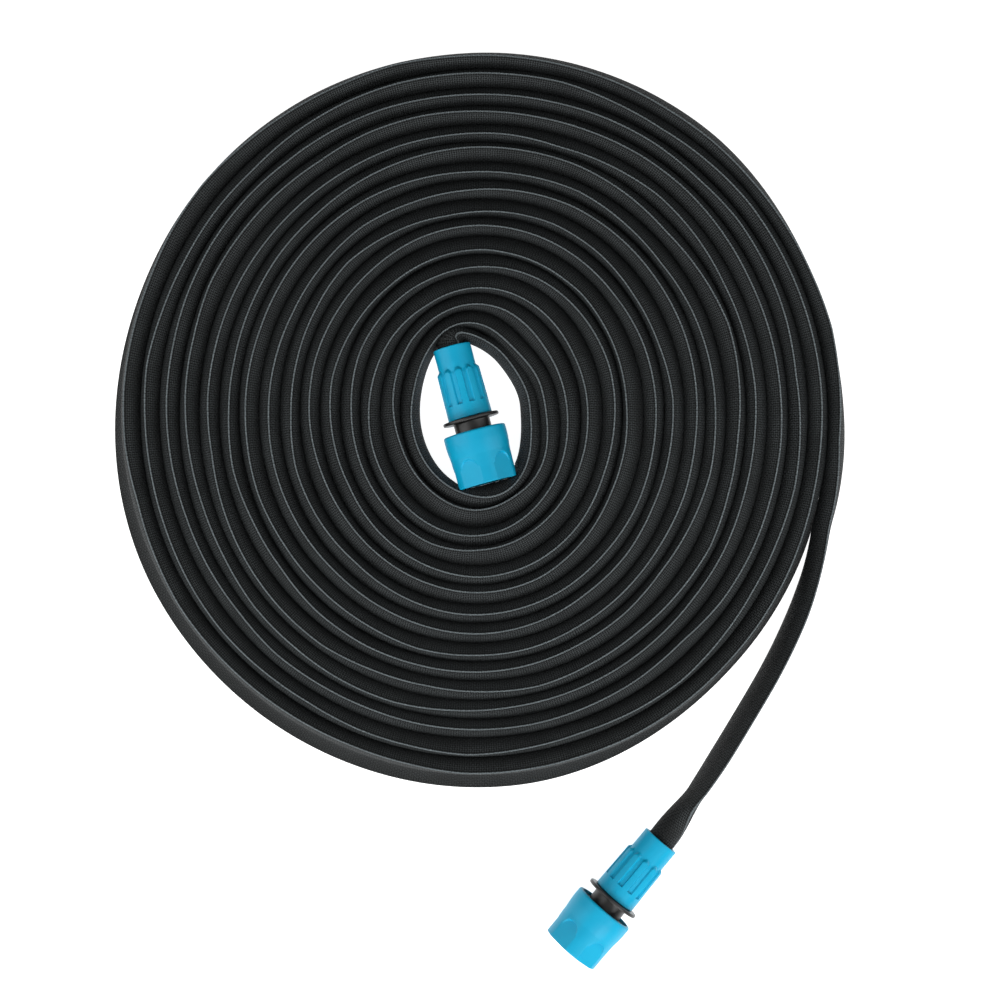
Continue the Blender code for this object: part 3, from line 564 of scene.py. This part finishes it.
def connector_body(side, valved):
    """Tail with four barbs, thread, flange 15.3, neck 9.9, shoulder ring 14.6 and socket barrel, in one turning."""
    columns = 128
    tail = [(3.5, 4.2), (3.5, 5.3)]
    for barb in range(4):
        tail += [(4.1 + 5 * barb, 5.7), (8.7 + 5 * barb, 6.1)]
    thread = [(25.0, 5.7), (25.0, 7.9)]
    for crest in range(7):
        thread += [(25.4 + 2 * crest, 8.7), (26.2 + 2 * crest, 8.7), (26.6 + 2 * crest, 7.9), (27.0 + 2 * crest, 7.9)]
    chamber = [(53.6, 8.8), (53.6, 6.9), (42.0, 6.9), (42.0, 4.2)] if valved else [(57.0, 8.8), (57.0, 4.2)]
    rows = outline(
        (tail, 9), (thread + [(39.3, 7.9)], 9), ([(39.3, 7.9), (39.3, 14.9)], 3),
        (rounded((39.3, 15.3), (39.3, 9), (41.1, 15.3), 0.6), 9),
        (rounded((41.1, 15.3), (39.3, 15.3), (41.1, 9), 0.6), 9),
        (rounded((41.1, 9.9), (41.1, 15), (48, 9.9), 0.8), 9), (rounded((48.2, 9.9), (42, 9.9), (48.2, 14), 0.6), 9),
        (rounded((48.2, 14.6), (48.2, 10), (50.6, 14.6), 0.4), 9), ([(50.6, 14.6), (50.6, 12.0), (74.6, 12.0)], 6),
        ([(74.6, 12.0), (74.6, 9.3), (74.1, 8.8), (61.4, 8.8), (61.4, 10.9), (58.4, 10.9), (58.4, 8.8)], 6),
        (chamber + [(3.5, 4.2)], 8))
    rows = rows[:-1]            # the last point is the first again
    angle = np.broadcast_to(2 * np.pi * np.arange(columns) / columns, (len(rows), columns))
    along, radius = (np.broadcast_to(rows[:, k:k + 1], angle.shape) for k in (0, 1))
    return turned_moulding(f"{side}_connector_body", side, along, radius, angle)


# ---------------------------------------------------------------- materials

def linear(colour):
    """An sRGB hex colour as linear RGBA."""
    values = [int(colour[k:k + 2], 16) / 255 for k in (1, 3, 5)]
    return (*[v / 12.92 if v <= 0.04045 else ((v + 0.055) / 1.055) ** 2.4 for v in values], 1.0)


MATH, MIX, RANGE, NOISE = "ShaderNodeMath", "ShaderNodeMix", "ShaderNodeMapRange", "ShaderNodeTexNoise"
SOFT = {"interpolation_type": "SMOOTHSTEP"}


def add(tree, kind, inputs=(), **settings):
    """A node with its settings and its inputs, in their order or by name or number. An input is a value, a socket
    that feeds it, or a node whose first live output does."""
    made = tree.nodes.new(kind)
    for key, value in settings.items():
        setattr(made, key, value)
    for key, value in inputs.items() if isinstance(inputs, dict) else enumerate(inputs):
        if isinstance(value, bpy.types.Node):
            value = next(socket for socket in value.outputs if socket.enabled)
        if isinstance(value, bpy.types.NodeSocket):
            tree.links.new(value, made.inputs[key])
        else:
            made.inputs[key].default_value = value
    return made


def started(name):
    """A new material and its empty node tree."""
    made = bpy.data.materials.new(name)
    made.use_nodes = True
    made.node_tree.nodes.clear()
    return made, made.node_tree


def finished(made, tree, inputs):
    """Ends a material with its shader and output. What is the same all over is set on the shader's own sockets."""
    add(tree, "ShaderNodeOutputMaterial", {"Surface": add(tree, "ShaderNodeBsdfPrincipled", inputs)})
    return made


def woven_polyester():
    """Black polyester yarn, plain woven: a matt charcoal with a fine grid of thread crowns painted paler as a painted
    highlight, and paler still on the folds, partly from rubbing and partly as a painted highlight where the doubled
    cloth catches the light. Each flank is painted darker towards its crease as painted shade. Threads are 1.3 mm apart
    both ways."""
    made, tree = started("woven_polyester")
    place = add(tree, "ShaderNodeAttribute", attribute_name="cloth").outputs["Vector"]
    down, along, _ = add(tree, "ShaderNodeSeparateXYZ", (place,)).outputs
    pitch = 1.3 * MM

    # Crowns are |sin| along each thread set, and a chequer of cells chooses which set is on top.
    crowns, cells = [], []
    for distance in (down, along):
        count = add(tree, MATH, (distance, pitch), operation="DIVIDE")
        phase = add(tree, MATH, (count, math.pi), operation="MULTIPLY")
        crowns.append(add(tree, MATH, (add(tree, MATH, (phase,), operation="SINE"),), operation="ABSOLUTE"))
        cells.append(add(tree, MATH, (count,), operation="FLOOR"))
    over = add(tree, MATH, (add(tree, MATH, cells, operation="ADD"), 2.0), operation="FLOORED_MODULO")
    height = add(tree, MIX, {"Factor": over, 2: crowns[0], 3: crowns[1]}, data_type="FLOAT")

    # Loose fibres run along the hose, and slow clouds vary the dye.
    drawn = add(tree, "ShaderNodeCombineXYZ", (down, add(tree, MATH, (along, 0.25), operation="MULTIPLY")))
    fuzz = add(tree, NOISE, {"Vector": drawn, "Scale": 1600.0, "Detail": 2.0})
    spread = add(tree, NOISE, {"Vector": place, "Scale": 38.0, "Detail": 3.0})

    # The doubled selvedge: a pale lip on the very fold, partly rubbed wear and partly a painted highlight where the
    # fold catches the light, and painted shade in the groove just under it.
    painted_groove_shade = add(tree, MATH, (add(tree, RANGE, (down, 0.7 * MM, 1.1 * MM), **SOFT),
                              add(tree, RANGE, (down, 2.2 * MM, 1.5 * MM), **SOFT)), operation="MULTIPLY")
    worn_and_highlit = add(tree, MATH, (add(tree, RANGE, (down, 0.52 * MM, 0.3 * MM), **SOFT),
                            add(tree, RANGE, (spread, 0.2, 0.7, 0.75, 1.0), **SOFT)), operation="MULTIPLY")

    base = linear("#010101")
    for share, colour in (
            # Painted highlight: the thread crowns are painted a paler grey, as if they catch the light, over the near
            # black of the gaps.
            (add(tree, RANGE, (height, 0.48, 0.98), **SOFT), "#3d4142"),
            (add(tree, RANGE, (fuzz, 0.52, 0.8, 0.0, 0.4), **SOFT), "#3a3d3e"),
            (add(tree, RANGE, (spread, 0.35, 0.7, 0.0, 0.35), **SOFT), "#101111"),
            # Painted shade: each flank is painted darker from 2.5 mm below the fold downwards, towards the shaded
            # crease between turns.
            (add(tree, RANGE, (down, 2.5 * MM, 10.0 * MM, 0.0, 0.6), **SOFT), "#0a0b0b"),
            # Painted shade in the groove just under the fold.
            (add(tree, MATH, (painted_groove_shade, 0.55), operation="MULTIPLY"), "#070808"),
            # Wear and painted highlight: the fold's lip is painted paler where it is rubbed and where it would catch
            # the light.
            (worn_and_highlit, "#6c7477")):
        base = add(tree, MIX, {"Factor": share, 6: base, 7: linear(colour)}, data_type="RGBA")

    relief = add(tree, MATH, (height, add(tree, MATH, (fuzz, 0.3), operation="MULTIPLY")), operation="ADD")
    return finished(made, tree, {
        "Base Color": base, "Roughness": 0.72, "IOR": 1.5, "Specular IOR Level": 0.2, "Sheen Weight": 0.05,
        "Sheen Roughness": 0.45, "Sheen Tint": linear("#aab4b8"),
        "Normal": add(tree, "ShaderNodeBump", {"Strength": 1.0, "Distance": 0.35 * MM, "Height": relief})})


def moulded(name, pale, deep, grain, relief, constants, roughness):
    """An injection moulding: two close tones in soft clouds, a spark-eroded grain, and gloss that varies with it."""
    made, tree = started(name)
    place = add(tree, "ShaderNodeTexCoord").outputs["Object"]
    clouds = add(tree, NOISE, {"Vector": place, "Scale": 55.0, "Detail": 3.0})
    fine = add(tree, NOISE, {"Vector": place, "Scale": 1 / grain, "Detail": 2.0})
    cloudy = add(tree, RANGE, (clouds, 0.35, 0.65), **SOFT)
    smudge = add(tree, MATH, (add(tree, MATH, (clouds, 0.7), operation="MULTIPLY"),
                              add(tree, MATH, (fine, 0.3), operation="MULTIPLY")), operation="ADD")
    return finished(made, tree, {
        **constants,
        "Base Color": add(tree, MIX, {"Factor": cloudy, 6: linear(deep), 7: linear(pale)}, data_type="RGBA"),
        "Roughness": add(tree, RANGE, (smudge, 0.3, 0.7, *roughness), **SOFT),
        "Normal": add(tree, "ShaderNodeBump", {"Strength": relief, "Distance": 0.05 * MM, "Height": fine})})


def drawn_spring_wire():
    """Stainless spring wire, cold drawn: bright grey with fine draw lines across its gloss."""
    made, tree = started("drawn_spring_wire")
    place = add(tree, "ShaderNodeTexCoord").outputs["Object"]
    lines = add(tree, NOISE, {"Vector": place, "Scale": 2500.0, "Detail": 2.0})
    return finished(made, tree, {
        "Metallic": 1.0, "Roughness": add(tree, RANGE, (lines, 0.3, 0.7, 0.2, 0.34), **SOFT),
        "Base Color": add(tree, MIX, {"Factor": lines, 6: linear("#a9aaac"), 7: linear("#c9cacb")},
                          data_type="RGBA")})


WOVEN = woven_polyester()
# Moulded polypropylene, coloured through: satin, with soft broad highlights.
BLUE = moulded("moulded_polypropylene", "#05a0c6", "#049ac0", 0.35 * MM, 0.22,
               {"IOR": 1.49, "Specular IOR Level": 0.26}, (0.36, 0.46))
# Moulded glass-filled nylon: near black, with a dull grey sheen from its rough skin.
BLACK = moulded("moulded_glass_nylon", "#1a1918", "#151413", 0.4 * MM, 0.3,
                {"IOR": 1.53, "Specular IOR Level": 0.45}, (0.3, 0.42))
# Moulded acetal: milky white and slippery.
WHITE = moulded("moulded_acetal", "#dedfd9", "#d2d3cd", 0.3 * MM, 0.15, {"IOR": 1.48}, (0.3, 0.4))
# Moulded nitrile rubber: black, matt, faintly dusty.
RUBBER = moulded("moulded_nitrile_rubber", "#1c1c1c", "#141414", 0.25 * MM, 0.3,
                 {"IOR": 1.52, "Specular IOR Level": 0.3}, (0.62, 0.75))
STEEL = drawn_spring_wire()


# ---------------------------------------------------------------- assembly

def dress(piece, material, body, slot, *nodes):
    """Gives a new piece its finish, body and slot, and hides the CAD nodes that it stands for."""
    piece.data.materials.clear()
    piece.data.materials.append(material)
    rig.ride(piece, body)
    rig.slot(piece, slot)
    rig.replaces(piece, *nodes)
    return piece


hose, hose_middle = woven_hose()
dress(hose, WOVEN, "hose", "woven_hose", "hose_coil", "hose_free_end", "hose_inner_end")

new_pieces = {}
for side in CONNECTORS:
    new_pieces[side] = [
        dress(clamp_nut(side), BLUE, f"{side}_nut", "blue_plastic", f"{side}_nut"),
        dress(locking_collar(side), BLUE, f"{side}_collar", "blue_plastic", f"{side}_collar"),
        dress(connector_body(side, side == "inner"), BLACK, "hose", "black_plastic", f"{side}_body"),
    ]

CARRIED = {
    "claw_ring": WHITE, "clamp_ring": WHITE, "hose_cuff": RUBBER, "socket_seal": RUBBER, "valve_seat": BLACK,
    "valve_piston": WHITE, "valve_seal": RUBBER, "valve_spring": STEEL,
}
for name, node in frame["nodes"].items():
    for ending, material in CARRIED.items():
        if name.endswith(ending):
            for place in node.material_slots:
                place.material = material

outer_parts = new_pieces["outer"] + [frame["nodes"][f"outer_{part}"]
                                     for part in ("claw_ring", "clamp_ring", "hose_cuff", "socket_seal")]
path = hose_middle[np.unique(np.concatenate([np.arange(0, len(hose_middle), 2), [len(hose_middle) - 1]]))]
inner_mouth = CONNECTORS["inner"][0]
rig.cord(hose, exit=(*inner_mouth, AXIS_HEIGHT), length=11.3, diameter=HOSE_WIDTH, far_end="connector",
        stiffness="limp", lay="coiled", path=path.tolist(), with_pieces=outer_parts)


# ---------------------------------------------------------------- floor, light, camera

def area_light(name, place, aim, size, power):
    """A white softbox that faces its aim."""
    data = bpy.data.lights.new(name, "AREA")
    data.shape = "RECTANGLE"
    data.size, data.size_y = size
    data.energy = power
    lamp = bpy.data.objects.new(name, data)
    bpy.context.scene.collection.objects.link(lamp)
    lamp.location = place
    ahead = np.array(aim) - np.array(place)
    dip, swing = math.acos(-ahead[2] / np.linalg.norm(ahead)), math.atan2(ahead[1], ahead[0]) - math.pi / 2
    lamp.rotation_euler = (dip, 0.0, swing)


floor_mesh = bpy.data.meshes.new("floor")
FLOOR = 30.0                    # half its side, m
floor_mesh.from_pydata([(-FLOOR, -FLOOR, 0), (FLOOR, -FLOOR, 0), (FLOOR, FLOOR, 0), (-FLOOR, FLOOR, 0)], [],
                       [(0, 1, 2, 3)])
floor = bpy.data.objects.new("floor", floor_mesh)
bpy.context.scene.collection.objects.link(floor)
# Matt white paper, lit from below as well as above: an even pale ground.
paper = finished(*started("matt_white_paper"), {
    "Base Color": linear("#c0c0c0"), "Roughness": 0.9, "Specular IOR Level": 0.1,
    "Emission Color": linear("#ffffff"), "Emission Strength": 0.95})
floor_mesh.materials.append(paper)
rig.stage(floor)

area_light("front_softbox", (0.0, -1.05, 0.75), (0.0, -0.05, 0.0), (1.3, 0.7), 17.0)
area_light("left_softbox", (-0.6, 0.0, 0.36), (-0.12, 0.02, 0.0), (0.4, 0.9), 2.6)
area_light("right_softbox", (0.6, 0.0, 0.36), (0.12, 0.02, 0.0), (0.4, 0.9), 2.6)
area_light("top_softbox", (0.0, -0.3, 1.9), (0.0, 0.0, 0.0), (1.4, 1.2), 4.0)

scene = bpy.context.scene
world = bpy.data.worlds.new("room")
world.use_nodes = True
world.node_tree.nodes["Background"].inputs["Color"].default_value = linear("#ffffff")
world.node_tree.nodes["Background"].inputs["Strength"].default_value = 0.09
scene.world = world
scene.view_settings.view_transform = "Standard"

camera_data = bpy.data.cameras.new("camera")
camera_data.sensor_width = 36.0
camera_data.lens = 71.4
camera = bpy.data.objects.new("camera", camera_data)
bpy.context.scene.collection.objects.link(camera)
camera.location = (0.00857, -0.0175, 1.08)
camera.rotation_euler = (math.atan2(0.0175 + 0.0039, 1.06), 0.0, 0.0)
scene.camera = camera

visual_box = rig.bounds()
with open("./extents.json", "w") as sizes:
    json.dump({"cad": [list(corner) for corner in cad_box], "visual": [list(corner) for corner in visual_box]}, sizes)
